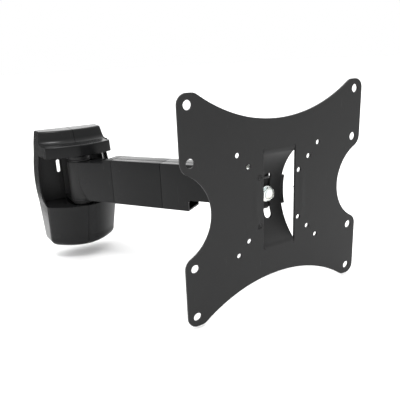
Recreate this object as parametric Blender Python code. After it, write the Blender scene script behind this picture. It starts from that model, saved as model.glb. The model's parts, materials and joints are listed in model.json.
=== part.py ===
"""A full motion wall mount for a flat screen, modelled as the pieces it comes apart into.

The origin is on the wall face, level with the pivots. +Z is up, the screen faces -Y and the
wall is the plane Y = 0. The arm stands turned to the right, and the screen plate is turned
back until it is parallel to the wall.

Empties carry the pieces: wall_frame stands on the wall, hub_axis and arm_pivot on the hub's
upright axis, head_in_arm and head_pivot on the upright axis at the far end of the arm, and
tilt_pivot on the level axis in front of the plate, about which its pressed saddle is curved.
"""

from math import acos, atan2, cos, pi, radians, sin, sqrt

import bmesh
import bpy
from mathutils import Matrix, Vector

MM = 0.001
UP = Vector((0, 0, 1))

# Overall layout
WALL_TO_HUB = 44 * MM
ARM_REACH = 230 * MM
ARM_TURN = radians(34.4)
GAP = 0.3 * MM

# Pivot hardware
FLANGE = 1.2 * MM
BUSH_WALL = 1.9 * MM
BUSH_DEPTH = 9 * MM
BOLT_PLAY = 0.1 * MM
HUB_BOLT_RADIUS = 5 * MM
HEAD_BOLT_RADIUS = 4 * MM
TILT_BOLT_RADIUS = 4 * MM
WASHER_SHEET = 2 * MM
BOLT_END = 2 * MM
# Sizes of hexagons and washers, as shares of the bolt's radius
HEX_CORNER = 1.87
HEAD_HEIGHT = 1.3
LOW_HEAD_HEIGHT = 0.75
NUT_HEIGHT = 1.7
WASHER_SPREAD = 2
TILT_WASHER_SPREAD = 2.1
TILT_WASHER_SHEET = 1.2 * MM

# Screen plate
PLATE_SIZE = 220 * MM
PLATE_WAIST = 159.4 * MM
PLATE_SHEET = 2.5 * MM
TOP_CURVE = 157 * MM
SIDE_CURVE = 45 * MM
CORNER_CURVE = 10 * MM
SHOULDER_CURVE = 12 * MM
VESA_LARGE = ((100 * MM, 100 * MM), (100 * MM, 50 * MM))
VESA_SMALL = ((50 * MM, 50 * MM), (37.5 * MM, 37.5 * MM), (25 * MM, 25 * MM))
LARGE_HOLE = 4.3 * MM
SMALL_HOLE = 2.6 * MM

# Pressed saddle in the middle of the plate, and the slot that the tilt bolt slides in
SADDLE_WIDTH = 39.2 * MM
SADDLE_KERF = 0.4 * MM
SADDLE_CURVE = 62 * MM
SADDLE_DEPTH = 22 * MM
SADDLE_BEND = 7.2 * MM
SLOT_WIDTH = 2 * TILT_BOLT_RADIUS + 1.4 * MM
SLOT_TOP = 22.5 * MM
SLOT_BOTTOM = -26 * MM
TILT_AHEAD = SADDLE_CURVE - SADDLE_DEPTH

# Head between the arm and the plate
CRADLE_WIDTH = 52 * MM
CRADLE_HEIGHT = 31 * MM
CRADLE_THICK = 5.9 * MM
CRADLE_BACK = SADDLE_DEPTH + PLATE_SHEET + GAP + CRADLE_THICK
YOKE_STEEL = 3 * MM
YOKE_WIDTH = 23 * MM
YOKE_PLAY = 1.5 * MM
HEAD_BARREL_RADIUS = 9.5 * MM
HEAD_BARREL_TOP = 17 * MM
HEAD_TO_PLATE = CRADLE_BACK + GAP + YOKE_STEEL + YOKE_PLAY + HEAD_BARREL_RADIUS

# Arm: steel tube, and the plastic sleeve, lids and knuckle that dress it
TUBE_THICK = 20 * MM
TUBE_WALL = 2 * MM
TUBE_TOP = 13 * MM
TUBE_BOTTOM = -17 * MM
SLEEVE_THICK = TUBE_THICK + 8 * MM
SLEEVE_TOP = 25 * MM
SLEEVE_BOTTOM = -29 * MM
SLEEVE_WALL = 2.2 * MM
SLEEVE_NOTCH_TOP = -16 * MM
NEAR_BAND = 9.7 * MM
LID_GROOVE = 0.7 * MM
LID_SHEET = 2.1 * MM
KNUCKLE_TOP = SLEEVE_TOP - 5 * MM
KNUCKLE_THICK = SLEEVE_THICK - 0.6 * MM
KNUCKLE_CURVE = 41 * MM

# Stations along the arm, measured from the head pivot towards the wall
SLEEVE_START = 38 * MM
SLEEVE_NOTCH_END = 71 * MM
SLEEVE_END = ARM_REACH - 58 * MM
SLEEVE_SEAM = (SLEEVE_START + SLEEVE_END) / 2
KNUCKLE_STEP = ARM_REACH - 49 * MM
KNUCKLE_END = ARM_REACH - 7 * MM

# Hub at the wall
HUB_BARREL_RADIUS = 15 * MM
HUB_STEEL = 4 * MM
HUB_BRACKET_WIDTH = 26 * MM
WALL_STEEL = 3 * MM

# Wall plate slots: centre from the middle, bottom, top
WALL_SLOTS = (
    (24 * MM, 41 * MM, 49 * MM),
    (17 * MM, -1 * MM, 16 * MM),
    (22 * MM, -80 * MM, -66 * MM),
)
WALL_SLOT_WIDTH = 4.5 * MM

# Wall cover: two moulded halves with a ledge above the hub and a deep pocket below it.
# Stations down the cover give the height, the half width at the wall, the half width at the
# front corner, and the depth at the front corner and at the middle of the bowed front.
COVER_WALL = 2.2 * MM
COVER_PLAY = 0.8 * MM
COVER_BARE = 15 * MM
SHELF_BACK = WALL_STEEL + 4.5 * MM
RIM_DEPTH = 21 * MM
RIM_SHARE = 0.9
LEDGE_BOTTOM = SLEEVE_TOP + 2 * MM
LEDGE_TOP = LEDGE_BOTTOM + 14 * MM
HOOD_TOP = LEDGE_TOP + 16 * MM
POCKET_TOP = SLEEVE_BOTTOM - 6.6 * MM
LEDGE_CORNER = WALL_TO_HUB + 5 * MM
LEDGE_MIDDLE = WALL_TO_HUB + 16 * MM
HOOD_STATIONS = (
    (HOOD_TOP, 41.2 * MM, 39.6 * MM, 20 * MM, 31 * MM),
    (LEDGE_TOP, 44 * MM, 42.6 * MM, 24 * MM, 36 * MM),
    (LEDGE_TOP, 44 * MM, 41.2 * MM, LEDGE_CORNER, LEDGE_MIDDLE),
    (LEDGE_BOTTOM, 45.6 * MM, 42 * MM, LEDGE_CORNER, LEDGE_MIDDLE),
)
POCKET_STATIONS = (
    (POCKET_TOP, 47.4 * MM, 45.8 * MM, WALL_TO_HUB - 3 * MM, WALL_TO_HUB + 20 * MM),
    (-84 * MM, 45 * MM, 43.8 * MM, WALL_TO_HUB - 19 * MM, WALL_TO_HUB + 3 * MM),
    (-91 * MM, 42.4 * MM, 41 * MM, WALL_TO_HUB - 20 * MM, WALL_TO_HUB + MM),
    (-94 * MM, 36 * MM, 34.6 * MM, WALL_TO_HUB - 19 * MM, WALL_TO_HUB),
)
# The side rim beside the hub: height and half width at the wall
COVER_HALF_WIDTH = 49 * MM
RIM_STATIONS = ((12 * MM, 47.6 * MM), (-9 * MM, COVER_HALF_WIDTH), (-24 * MM, 48.6 * MM))
RIM_DRAFT = 1 * MM
# Where the rows of the bowed front have their points, as shares of the half width
BOW_SHARES = (1, 0.93, 0.8, 0.6, 0.38, 0.2, 0)

ROUND_SIDES = 32
SMALL_SIDES = 24


# Scene, materials and frames


def clear_scene():
    for thing in list(bpy.data.objects):
        bpy.data.objects.remove(thing)


def finish(name, colour, roughness, metallic):
    material = bpy.data.materials.new(name)
    material.use_nodes = True
    shader = material.node_tree.nodes["Principled BSDF"]
    shader.inputs["Base Color"].default_value = (*colour, 1)
    shader.inputs["Roughness"].default_value = roughness
    shader.inputs["Metallic"].default_value = metallic
    return material


def pivot(name, parent, location, turn):
    empty = bpy.data.objects.new(name, None)
    empty.parent = parent
    empty.location = location
    empty.rotation_euler = (0, 0, turn)
    bpy.context.scene.collection.objects.link(empty)
    return empty


def place(name, mesh, parent, material=None, location=(0, 0, 0)):
    thing = bpy.data.objects.new(name, mesh)
    thing.parent = parent
    thing.location = location
    bpy.context.scene.collection.objects.link(thing)
    if material:
        mesh.materials.append(material)
    else:
        thing.hide_render = True
        thing.display_type = "WIRE"
    return thing


# Outlines, as lists of points in a plane


def arc(centre, radius, start, end, steps):
    """Points on a circle from one angle to another, both ends included."""
    angles = [start + (end - start) * i / steps for i in range(steps + 1)]
    return [(centre[0] + radius * cos(a), centre[1] + radius * sin(a)) for a in angles]


def circle(centre, radius, sides):
    return arc(centre, radius, 0, 2 * pi, sides)[:-1]


def rectangle(left, bottom, right, top):
    return [(left, bottom), (right, bottom), (right, top), (left, top)]


def upright_slot(centre_x, bottom, top, width):
    """A slot with round ends, standing upright."""
    r = width / 2
    upper = arc((centre_x, top - r), r, 0, pi, 8)
    lower = arc((centre_x, bottom + r), r, pi, 2 * pi, 8)
    return upper + lower


def mirrored_quarters(quarter):
    """A closed outline from its first quarter, which runs from the X axis to the Y axis."""
    half = quarter + [(-x, y) for x, y in reversed(quarter[:-1])]
    return half + [(x, -y) for x, y in reversed(half[1:-1])]


# Solids

PLANES = {
    "XY": Matrix.Identity(4),
    "XZ": Matrix(((1, 0, 0, 0), (0, 0, 1, 0), (0, 1, 0, 0), (0, 0, 0, 1))),
    "YZ": Matrix(((0, 0, 1, 0), (1, 0, 0, 0), (0, 1, 0, 0), (0, 0, 0, 1))),
}


def to_mesh(name, bm):
    mesh = bpy.data.meshes.new(name)
    bm.to_mesh(mesh)
    bm.free()
    mesh.shade_smooth()
    mesh.set_sharp_from_angle(angle=radians(30))
    return mesh


def add_loop(bm, points, height=0):
    verts = [bm.verts.new((x, y, height)) for x, y in points]
    return [bm.edges.new((verts[i - 1], verts[i])) for i in range(len(verts))]


def prism(name, outline, low, high, plane="XY", holes=()):
    """A flat outline with holes, drawn in one plane and carried from low to high across it."""
    bm = bmesh.new()
    edges = add_loop(bm, outline, low)
    for hole in holes:
        edges += add_loop(bm, hole, low)
    filled = bmesh.ops.triangle_fill(bm, use_beauty=True, edges=edges, normal=UP)
    faces = [item for item in filled["geom"] if isinstance(item, bmesh.types.BMFace)]
    raised = bmesh.ops.extrude_face_region(bm, geom=faces)["geom"]
    top = [item for item in raised if isinstance(item, bmesh.types.BMVert)]
    bmesh.ops.translate(bm, verts=top, vec=(0, 0, high - low))
    bmesh.ops.transform(bm, matrix=PLANES[plane], verts=bm.verts)
    bmesh.ops.recalc_face_normals(bm, faces=bm.faces)
    return to_mesh(name, bm)


def turned(name, profile, parent, material, height=0, sides=SMALL_SIDES):
    """A profile of (radius, height) points turned about Z. It runs down its outer side."""
    bm = bmesh.new()
    verts = [bm.verts.new((radius, 0, z)) for radius, z in profile]
    for first, second in zip(verts, verts[1:]):
        bm.edges.new((first, second))
    if profile[0][0] > 0:
        bm.edges.new((verts[-1], verts[0]))
    thing = place(name, to_mesh(name, bm), parent, material, (0, 0, height))
    screw = thing.modifiers.new("Turn", "SCREW")
    screw.steps = sides
    screw.render_steps = sides
    screw.use_merge_vertices = True
    screw.merge_threshold = 0.01 * MM
    return thing


def cut(thing, cutter, operation="DIFFERENCE"):
    boolean = thing.modifiers.new(cutter.name, "BOOLEAN")
    boolean.operation = operation
    boolean.object = cutter


def drill(thing, parent, centre, radius, low, high, plane="XY"):
    """Cuts a round hole through the piece."""
    mesh = prism(thing.name + "_drill", circle(centre, radius, SMALL_SIDES), low, high, plane)
    cut(thing, place(mesh.name, mesh, parent))


def ring(name, inner, outer, low, high, parent, material, sides=SMALL_SIDES):
    profile = [(outer, high), (outer, low), (inner, low), (inner, high)]
    return turned(name, profile, parent, material, sides=sides)


def hex_bolt(name, radius, seat, tip, parent, material, head_share=HEAD_HEIGHT):
    """An upright bolt: its hexagon head stands on the seat and its shank runs down to the tip."""
    head_height = head_share * radius
    head = circle((0, 0), HEX_CORNER * radius, 6)
    shank = circle((0, 0), radius, SMALL_SIDES)
    thing = place(name, prism(name, shank, tip, seat + head_height / 2), parent, material)
    mesh = prism(name + "_head", head, seat, seat + head_height)
    cut(thing, place(mesh.name, mesh, parent), "UNION")
    return thing


def hex_nut(name, radius, top, parent, material):
    outline = circle((0, 0), HEX_CORNER * radius, 6)
    bore = circle((0, 0), radius + BOLT_PLAY, SMALL_SIDES)
    mesh = prism(name, outline, top - NUT_HEIGHT * radius, top, holes=[bore])
    return place(name, mesh, parent, material)


def flanged_bush(name, bolt_radius, flange_radius, seat, up, parent, material):
    """A plastic bush: its flange rests on the barrel's end at seat, its sleeve goes inside."""
    inner = bolt_radius + BOLT_PLAY
    outer = inner + BUSH_WALL
    low = seat + up * GAP
    high = low + up * FLANGE
    depth = seat - up * BUSH_DEPTH
    profile = [(flange_radius, high), (flange_radius, low), (outer, low), (outer, depth)]
    profile += [(inner, depth), (inner, high)]
    if up < 0:
        profile.reverse()
    return turned(name, profile, parent, material)


def u_bracket(name, web, bottom, top, steel, width, parent, material):
    """A folded steel channel: a web at Y = web, and two ears with their round ends at 0.

    The ears' inner faces are at bottom and top. The sign of web is the side the web is on.
    """
    side = 1 if web > 0 else -1
    outline = [
        (web, bottom - steel), (-side * width, bottom - steel), (-side * width, bottom),
        (web - side * steel, bottom), (web - side * steel, top), (-side * width, top),
        (-side * width, top + steel), (web, top + steel),
    ]
    thing = place(name, prism(name, outline, -width, width, "YZ"), parent, material)
    half = width / 2
    ear_end = arc((0, 0), half, 0, -side * pi, 16)
    plan = ear_end + [(-half, web + side * GAP), (half, web + side * GAP)]
    keeper = prism(name + "_plan", plan, bottom - 2 * steel, top + 2 * steel)
    cut(thing, place(keeper.name, keeper, parent), "INTERSECT")
    return thing


# Screen plate


def plate_outline():
    """One quarter is a waisted side arc, a shoulder, a round corner and a long top arc."""
    half = PLATE_SIZE / 2
    waist = PLATE_WAIST / 2
    side = (waist + SIDE_CURVE, 0)
    shoulder_x = half - SHOULDER_CURVE
    shoulder_y = sqrt((SIDE_CURVE + SHOULDER_CURVE) ** 2 - (side[0] - shoulder_x) ** 2)
    shoulder_turn = atan2(shoulder_y, shoulder_x - side[0])
    corner = half - CORNER_CURVE
    top = (0, waist + TOP_CURVE)
    lobe_x = sqrt((TOP_CURVE + CORNER_CURVE) ** 2 - (top[1] - corner) ** 2)
    lobe_turn = atan2(top[1] - corner, -lobe_x)
    quarter = arc(side, SIDE_CURVE, pi, shoulder_turn, 9)
    quarter += arc((shoulder_x, shoulder_y), SHOULDER_CURVE, shoulder_turn - pi, 0, 5)[1:]
    quarter += arc((corner, corner), CORNER_CURVE, 0, pi / 2, 6)
    quarter += arc((lobe_x, corner), CORNER_CURVE, pi / 2, lobe_turn, 3)[1:]
    quarter += arc(top, TOP_CURVE, lobe_turn - pi, -pi / 2, 8)[1:]
    return mirrored_quarters(quarter)


def saddle_rows():
    """Points (height, depth) down the saddle: a rounded lip, the long arc and the lower lip."""
    reach = SADDLE_CURVE + SADDLE_BEND
    lip_height = sqrt(reach**2 - (TILT_AHEAD + SADDLE_BEND) ** 2)
    lean = acos((TILT_AHEAD + SADDLE_BEND) / reach)
    lip = arc((lip_height, SADDLE_BEND), SADDLE_BEND, -pi / 2, -pi / 2 - lean, 5)[:-1]
    bowl = arc((0, -TILT_AHEAD), SADDLE_CURVE, pi / 2 - lean, pi / 2, 12)
    upper = lip + bowl
    return upper + [(-v, w) for v, w in reversed(upper[:-1])]


def mirrored_holes(places, radius, sides):
    spots = [(sx * x, sy * y) for x, y in places for sx in (1, -1) for sy in (1, -1)]
    return [circle(spot, radius, sides) for spot in spots]


def plate_front():
    """The plate's front skin: a flat sheet with its holes, and the saddle strip pressed back."""
    rows = saddle_rows()
    lip = rows[0][0]
    strip = SADDLE_WIDTH / 2
    window = strip + SADDLE_KERF
    bm = bmesh.new()
    edges = add_loop(bm, plate_outline())
    holes = mirrored_holes(VESA_LARGE, LARGE_HOLE, 16) + mirrored_holes(VESA_SMALL, SMALL_HOLE, 12)
    for hole in holes:
        edges += add_loop(bm, hole)
    slit_end = lip - SADDLE_KERF
    opening = [(-window, slit_end), (-strip, lip), (strip, lip), (window, slit_end)]
    opening += [(x, -y) for x, y in reversed(opening)]
    window_edges = add_loop(bm, opening)
    edges += window_edges
    corners = list(bm.verts)[-len(opening):]
    left = [corners[1]] + [bm.verts.new((-strip, v, w)) for v, w in rows[1:-1]] + [corners[6]]
    right = [corners[2]] + [bm.verts.new((strip, v, w)) for v, w in rows[1:-1]] + [corners[5]]
    bmesh.ops.triangle_fill(bm, use_beauty=True, edges=edges, normal=UP)
    for i in range(len(rows) - 1):
        bm.faces.new((left[i], left[i + 1], right[i + 1], right[i]))
    bmesh.ops.transform(bm, matrix=PLANES["XZ"], verts=bm.verts)
    bmesh.ops.recalc_face_normals(bm, faces=bm.faces)
    bm.faces.ensure_lookup_table()
    if bm.faces[0].normal.y > 0:
        bmesh.ops.reverse_faces(bm, faces=bm.faces)
    bmesh.ops.translate(bm, verts=bm.verts, vec=(0, TILT_AHEAD, 0))
    return to_mesh("screen_plate", bm)


def make_screen_plate(tilt, steel):
    plate = place("screen_plate", plate_front(), tilt, steel)
    sheet = plate.modifiers.new("Sheet", "SOLIDIFY")
    sheet.thickness = PLATE_SHEET
    sheet.offset = -1
    sheet.use_even_offset = True
    slot = upright_slot(0, SLOT_BOTTOM, SLOT_TOP, SLOT_WIDTH)
    far = SADDLE_CURVE + 2 * PLATE_SHEET
    mesh = prism("saddle_slot", slot, SADDLE_CURVE / 2, far, "XZ")
    cut(plate, place(mesh.name, mesh, tilt))


# Head


def make_head(head, materials):
    steel, zinc = materials["steel"], materials["zinc"]
    plate_y = -HEAD_TO_PLATE
    tilt_y = plate_y - TILT_AHEAD
    cradle_back = plate_y + CRADLE_BACK
    half = CRADLE_HEIGHT / 2
    bowl = SADDLE_CURVE + PLATE_SHEET + GAP
    lean = atan2(half, sqrt(bowl**2 - half**2))
    outline = arc((tilt_y, 0), bowl, lean, -lean, 12)
    outline += [(cradle_back, -half), (cradle_back, half)]
    width = CRADLE_WIDTH / 2
    cradle = place("tilt_cradle", prism("tilt_cradle", outline, -width, width, "YZ"), head, steel)
    web_face = cradle_back + GAP
    ear_top = HEAD_BARREL_TOP + 2 * GAP + FLANGE
    ear_bottom = TUBE_BOTTOM - 2 * GAP - FLANGE
    yoke = u_bracket(
        "head_yoke", web_face, ear_bottom, ear_top, YOKE_STEEL, YOKE_WIDTH, head, steel
    )
    past = 2 * YOKE_STEEL
    drill(yoke, head, (0, 0), HEAD_BOLT_RADIUS + GAP, ear_bottom - past, ear_top + past)
    tilt_hole = TILT_BOLT_RADIUS + GAP
    drill(cradle, head, (0, 0), tilt_hole, tilt_y, cradle_back + YOKE_STEEL, "XZ")
    drill(yoke, head, (0, 0), tilt_hole, cradle_back - GAP, web_face + YOKE_STEEL + GAP, "XZ")
    ears = (ear_bottom - YOKE_STEEL, ear_top + YOKE_STEEL)
    upright_hardware("head", HEAD_BOLT_RADIUS, ears, head, zinc)
    make_tilt_bolt(head, tilt_y, web_face + YOKE_STEEL, zinc)


def make_tilt_bolt(head, tilt_y, web_back, zinc):
    """The bolt lies level: a broad washer on the saddle, and a low hexagon head."""
    axle = bpy.data.objects.new("tilt_bolt_axis", None)
    axle.parent = head
    axle.rotation_euler = (pi / 2, 0, 0)
    bpy.context.scene.collection.objects.link(axle)
    washer_radius = TILT_WASHER_SPREAD * TILT_BOLT_RADIUS
    sag = SADDLE_CURVE - sqrt(SADDLE_CURVE**2 - washer_radius**2)
    seat = -(tilt_y + SADDLE_CURVE - sag - GAP)
    bore = TILT_BOLT_RADIUS + BOLT_PLAY
    head_seat = seat + TILT_WASHER_SHEET + GAP
    tip = -web_back + GAP
    ring("tilt_washer", bore, washer_radius, seat, seat + TILT_WASHER_SHEET, axle, zinc)
    hex_bolt("tilt_bolt", TILT_BOLT_RADIUS, head_seat, tip, axle, zinc, LOW_HEAD_HEIGHT)


def upright_hardware(prefix, radius, ears, parent, metal):
    """Bolt, two washers and nut that clamp a pair of ears, on the parent's upright axis."""
    bore = radius + BOLT_PLAY
    outer = WASHER_SPREAD * radius
    low = ears[0] - GAP
    high = ears[1] + GAP
    ring(prefix + "_washer_top", bore, outer, high, high + WASHER_SHEET, parent, metal)
    ring(prefix + "_washer_bottom", bore, outer, low - WASHER_SHEET, low, parent, metal)
    nut_top = low - WASHER_SHEET - GAP
    tip = nut_top - NUT_HEIGHT * radius - BOLT_END
    hex_bolt(prefix + "_bolt", radius, high + WASHER_SHEET + GAP, tip, parent, metal)
    hex_nut(prefix + "_nut", radius, nut_top, parent, metal)


# Arm


def along(station):
    """The Y of a station, in the arm's frame."""
    return station - ARM_REACH


def sleeve_section():
    """The sleeve is a channel open at the top, with a broad band on its near side."""
    half = SLEEVE_THICK / 2
    inside = half - SLEEVE_WALL
    rim = SLEEVE_TOP - LID_SHEET - GAP
    band = -half + NEAR_BAND
    return [
        (-half, SLEEVE_BOTTOM), (half, SLEEVE_BOTTOM), (half, rim), (inside, rim),
        (inside, SLEEVE_BOTTOM + SLEEVE_WALL), (-inside, SLEEVE_BOTTOM + SLEEVE_WALL),
        (-inside, SLEEVE_TOP - SLEEVE_WALL), (band, SLEEVE_TOP - SLEEVE_WALL), (band, SLEEVE_TOP),
        (-half, SLEEVE_TOP),
    ]


def make_sleeve(name, start, end, arm, plastic):
    mesh = prism(name, sleeve_section(), along(start) + GAP / 2, along(end) - GAP / 2, "XZ")
    return place(name, mesh, arm, plastic)


def make_lid(name, start, end, arm, plastic):
    left = -SLEEVE_THICK / 2 + NEAR_BAND + LID_GROOVE
    outline = rectangle(left, SLEEVE_TOP - LID_SHEET, SLEEVE_THICK / 2, SLEEVE_TOP)
    mesh = prism(name, outline, along(start) + GAP / 2, along(end) - GAP / 2, "XZ")
    return place(name, mesh, arm, plastic)


def make_knuckle(arm, plastic):
    """The moulded end of the arm: a collar, a lower neck and a swept lower corner."""
    end = along(KNUCKLE_END)
    centre = (end - KNUCKLE_CURVE, 0)
    corner = -acos(sqrt(KNUCKLE_CURVE**2 - SLEEVE_BOTTOM**2) / KNUCKLE_CURVE)
    collar = along(SLEEVE_END) + GAP / 2
    step = along(KNUCKLE_STEP)
    outline = [(step, SLEEVE_TOP), (collar, SLEEVE_TOP), (collar, SLEEVE_BOTTOM)]
    outline += arc(centre, KNUCKLE_CURVE, corner, 0, 8)
    outline += [(end, KNUCKLE_TOP), (step + SLEEVE_TOP - KNUCKLE_TOP, KNUCKLE_TOP)]
    half = KNUCKLE_THICK / 2
    knuckle = place("arm_knuckle", prism("arm_knuckle", outline, -half, half, "YZ"), arm, plastic)
    side = TUBE_THICK / 2 + GAP
    bay = rectangle(-side, TUBE_BOTTOM - GAP, side, TUBE_TOP + GAP)
    mesh = prism("knuckle_bay", bay, collar - MM, MM, "XZ")
    cut(knuckle, place(mesh.name, mesh, arm))
    barrel = circle((0, 0), HUB_BARREL_RADIUS + GAP, 2 * ROUND_SIDES)
    mesh = prism("knuckle_socket", barrel, 2 * SLEEVE_BOTTOM, 2 * SLEEVE_TOP)
    cut(knuckle, place(mesh.name, mesh, arm))


def make_arm(arm, head_in_arm, materials):
    steel, plastic, nylon = materials["steel"], materials["plastic"], materials["nylon"]
    side = TUBE_THICK / 2
    outer = rectangle(-side, TUBE_BOTTOM, side, TUBE_TOP)
    bore = rectangle(
        TUBE_WALL - side, TUBE_BOTTOM + TUBE_WALL, side - TUBE_WALL, TUBE_TOP - TUBE_WALL
    )
    near = along(HEAD_BARREL_RADIUS + GAP)
    mesh = prism("arm_tube", outer, near, -HUB_BARREL_RADIUS - GAP, "XZ", holes=[bore])
    place("arm_tube", mesh, arm, steel)
    hub_bore = HUB_BOLT_RADIUS + BOLT_PLAY + BUSH_WALL + GAP
    head_bore = HEAD_BOLT_RADIUS + BOLT_PLAY + BUSH_WALL + GAP
    barrels = (
        ("hub_barrel", hub_bore, HUB_BARREL_RADIUS, SLEEVE_BOTTOM, KNUCKLE_TOP, arm),
        ("head_barrel", head_bore, HEAD_BARREL_RADIUS, TUBE_BOTTOM, HEAD_BARREL_TOP, head_in_arm),
    )
    for name, bore_radius, radius, bottom, top, parent in barrels:
        ring(name, bore_radius, radius, bottom, top, parent, steel, ROUND_SIDES)
    hub_flange = HUB_BARREL_RADIUS - FLANGE
    head_flange = HEAD_BARREL_RADIUS - FLANGE
    bushes = (
        ("hub_bush_top", HUB_BOLT_RADIUS, hub_flange, KNUCKLE_TOP, 1, arm),
        ("hub_bush_bottom", HUB_BOLT_RADIUS, hub_flange, SLEEVE_BOTTOM, -1, arm),
        ("head_bush_top", HEAD_BOLT_RADIUS, head_flange, HEAD_BARREL_TOP, 1, head_in_arm),
        ("head_bush_bottom", HEAD_BOLT_RADIUS, head_flange, TUBE_BOTTOM, -1, head_in_arm),
    )
    for name, bolt_radius, flange, seat, up, parent in bushes:
        flanged_bush(name, bolt_radius, flange, seat, up, parent, nylon)
    make_sleeve("rear_sleeve", SLEEVE_SEAM, SLEEVE_END, arm, plastic)
    front = make_sleeve("front_sleeve", SLEEVE_START, SLEEVE_SEAM, arm, plastic)
    step = rectangle(-SLEEVE_THICK, 2 * SLEEVE_BOTTOM, SLEEVE_THICK, SLEEVE_NOTCH_TOP)
    mesh = prism("sleeve_notch", step, along(0), along(SLEEVE_NOTCH_END), "XZ")
    cut(front, place(mesh.name, mesh, arm))
    make_lid("rear_lid", SLEEVE_SEAM, SLEEVE_END, arm, plastic)
    make_lid("front_lid", SLEEVE_START, SLEEVE_SEAM, arm, plastic)
    make_knuckle(arm, plastic)


# Wall bracket and its cover


def hood_row(bm, station, side):
    """One row of the cover's skin: wall edge, rim line, front corner and the bowed front."""
    height, wall_half, front_half, corner_depth, middle_depth = station
    share = min(RIM_DEPTH / corner_depth, RIM_SHARE)
    points = [(wall_half, 0), (wall_half + (front_half - wall_half) * share, corner_depth * share)]
    for part in BOW_SHARES:
        bow = (middle_depth - corner_depth) * (1 - part**2)
        points.append((front_half * part, corner_depth + bow))
    return [bm.verts.new((side * x, -depth, height)) for x, depth in points]


def join_rows(bm, rows):
    for upper, lower in zip(rows, rows[1:]):
        for i in range(len(upper) - 1):
            bm.faces.new((upper[i], upper[i + 1], lower[i + 1], lower[i]))


def close_to_wall(bm, row):
    """A level face from a row's front edge to the wall, at the cover's top or bottom."""
    seam = row[-1].co
    bm.faces.new(row + [bm.verts.new((seam.x, 0, seam.z))])


def shelf(bm, row):
    """A level face from a hood's front edge back past the rim line, left bare around the hub."""
    height = row[0].co.z
    front = [v for v in row[2:] if abs(v.co.x) > COVER_BARE]
    middle = [row[1]] + [bm.verts.new((v.co.x, -RIM_DEPTH, height)) for v in front[1:]]
    back = [bm.verts.new((v.co.x, -SHELF_BACK, height)) for v in front[1:]]
    join_rows(bm, [front, middle])
    join_rows(bm, [middle[1:], back])


def cover_half(name, side, frame, plastic):
    bm = bmesh.new()
    hood = [hood_row(bm, station, side) for station in HOOD_STATIONS]
    pocket = [hood_row(bm, station, side) for station in POCKET_STATIONS]
    rim = [hood[-1][:2]]
    for height, half in RIM_STATIONS:
        points = ((half, 0), (half - RIM_DRAFT, RIM_DEPTH))
        rim.append([bm.verts.new((side * x, -depth, height)) for x, depth in points])
    rim.append(pocket[0][:2])
    for rows in (hood, rim, pocket):
        join_rows(bm, rows)
    close_to_wall(bm, hood[0])
    close_to_wall(bm, pocket[-1])
    shelf(bm, hood[-1])
    shelf(bm, pocket[0])
    bmesh.ops.recalc_face_normals(bm, faces=bm.faces)
    top = max(bm.faces, key=lambda face: face.calc_center_median().z)
    if top.normal.z < 0:
        bmesh.ops.reverse_faces(bm, faces=bm.faces)
    half = place(name, to_mesh(name, bm), frame, plastic)
    wall = half.modifiers.new("Wall", "SOLIDIFY")
    wall.thickness = COVER_WALL
    wall.offset = -1
    wall.use_even_offset = True
    near, far = sorted((side * GAP / 2, -side * COVER_HALF_WIDTH))
    beyond = rectangle(near, -2 * WALL_TO_HUB, far, WALL_TO_HUB)
    trim = prism(name + "_seam", beyond, -3 * COVER_HALF_WIDTH, 3 * COVER_HALF_WIDTH)
    cut(half, place(trim.name, trim, frame))


def make_wall_plate(frame, steel):
    inset = COVER_WALL + COVER_PLAY
    stations = HOOD_STATIONS[:1] + HOOD_STATIONS[-1:] + RIM_STATIONS + POCKET_STATIONS
    edge = [(station[1] - inset, station[0]) for station in stations]
    edge[0] = (edge[0][0], edge[0][1] - inset)
    edge[-2:] = [(x, z + inset) for x, z in edge[-2:]]
    outline = edge + [(-x, z) for x, z in reversed(edge)]
    holes = []
    for x, bottom, top in WALL_SLOTS:
        holes += [upright_slot(side * x, bottom, top, WALL_SLOT_WIDTH) for side in (1, -1)]
    mesh = prism("wall_plate", outline, -WALL_STEEL, 0, "XZ", holes)
    place("wall_plate", mesh, frame, steel)


def make_wall_bracket(frame, hub, materials):
    steel, plastic, dark = materials["steel"], materials["plastic"], materials["dark"]
    make_wall_plate(frame, steel)
    ear_top = KNUCKLE_TOP + 2 * GAP + FLANGE
    ear_bottom = SLEEVE_BOTTOM - 2 * GAP - FLANGE
    web = WALL_TO_HUB - WALL_STEEL - GAP
    bracket = u_bracket(
        "hinge_bracket", web, ear_bottom, ear_top, HUB_STEEL, HUB_BRACKET_WIDTH, hub, steel
    )
    past = 2 * HUB_STEEL
    drill(bracket, hub, (0, 0), HUB_BOLT_RADIUS + GAP, ear_bottom - past, ear_top + past)
    upright_hardware("hub", HUB_BOLT_RADIUS, (ear_bottom - HUB_STEEL, ear_top + HUB_STEEL), hub, dark)
    cover_half("wall_cover_left", -1, frame, plastic)
    cover_half("wall_cover_right", 1, frame, plastic)


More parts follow.
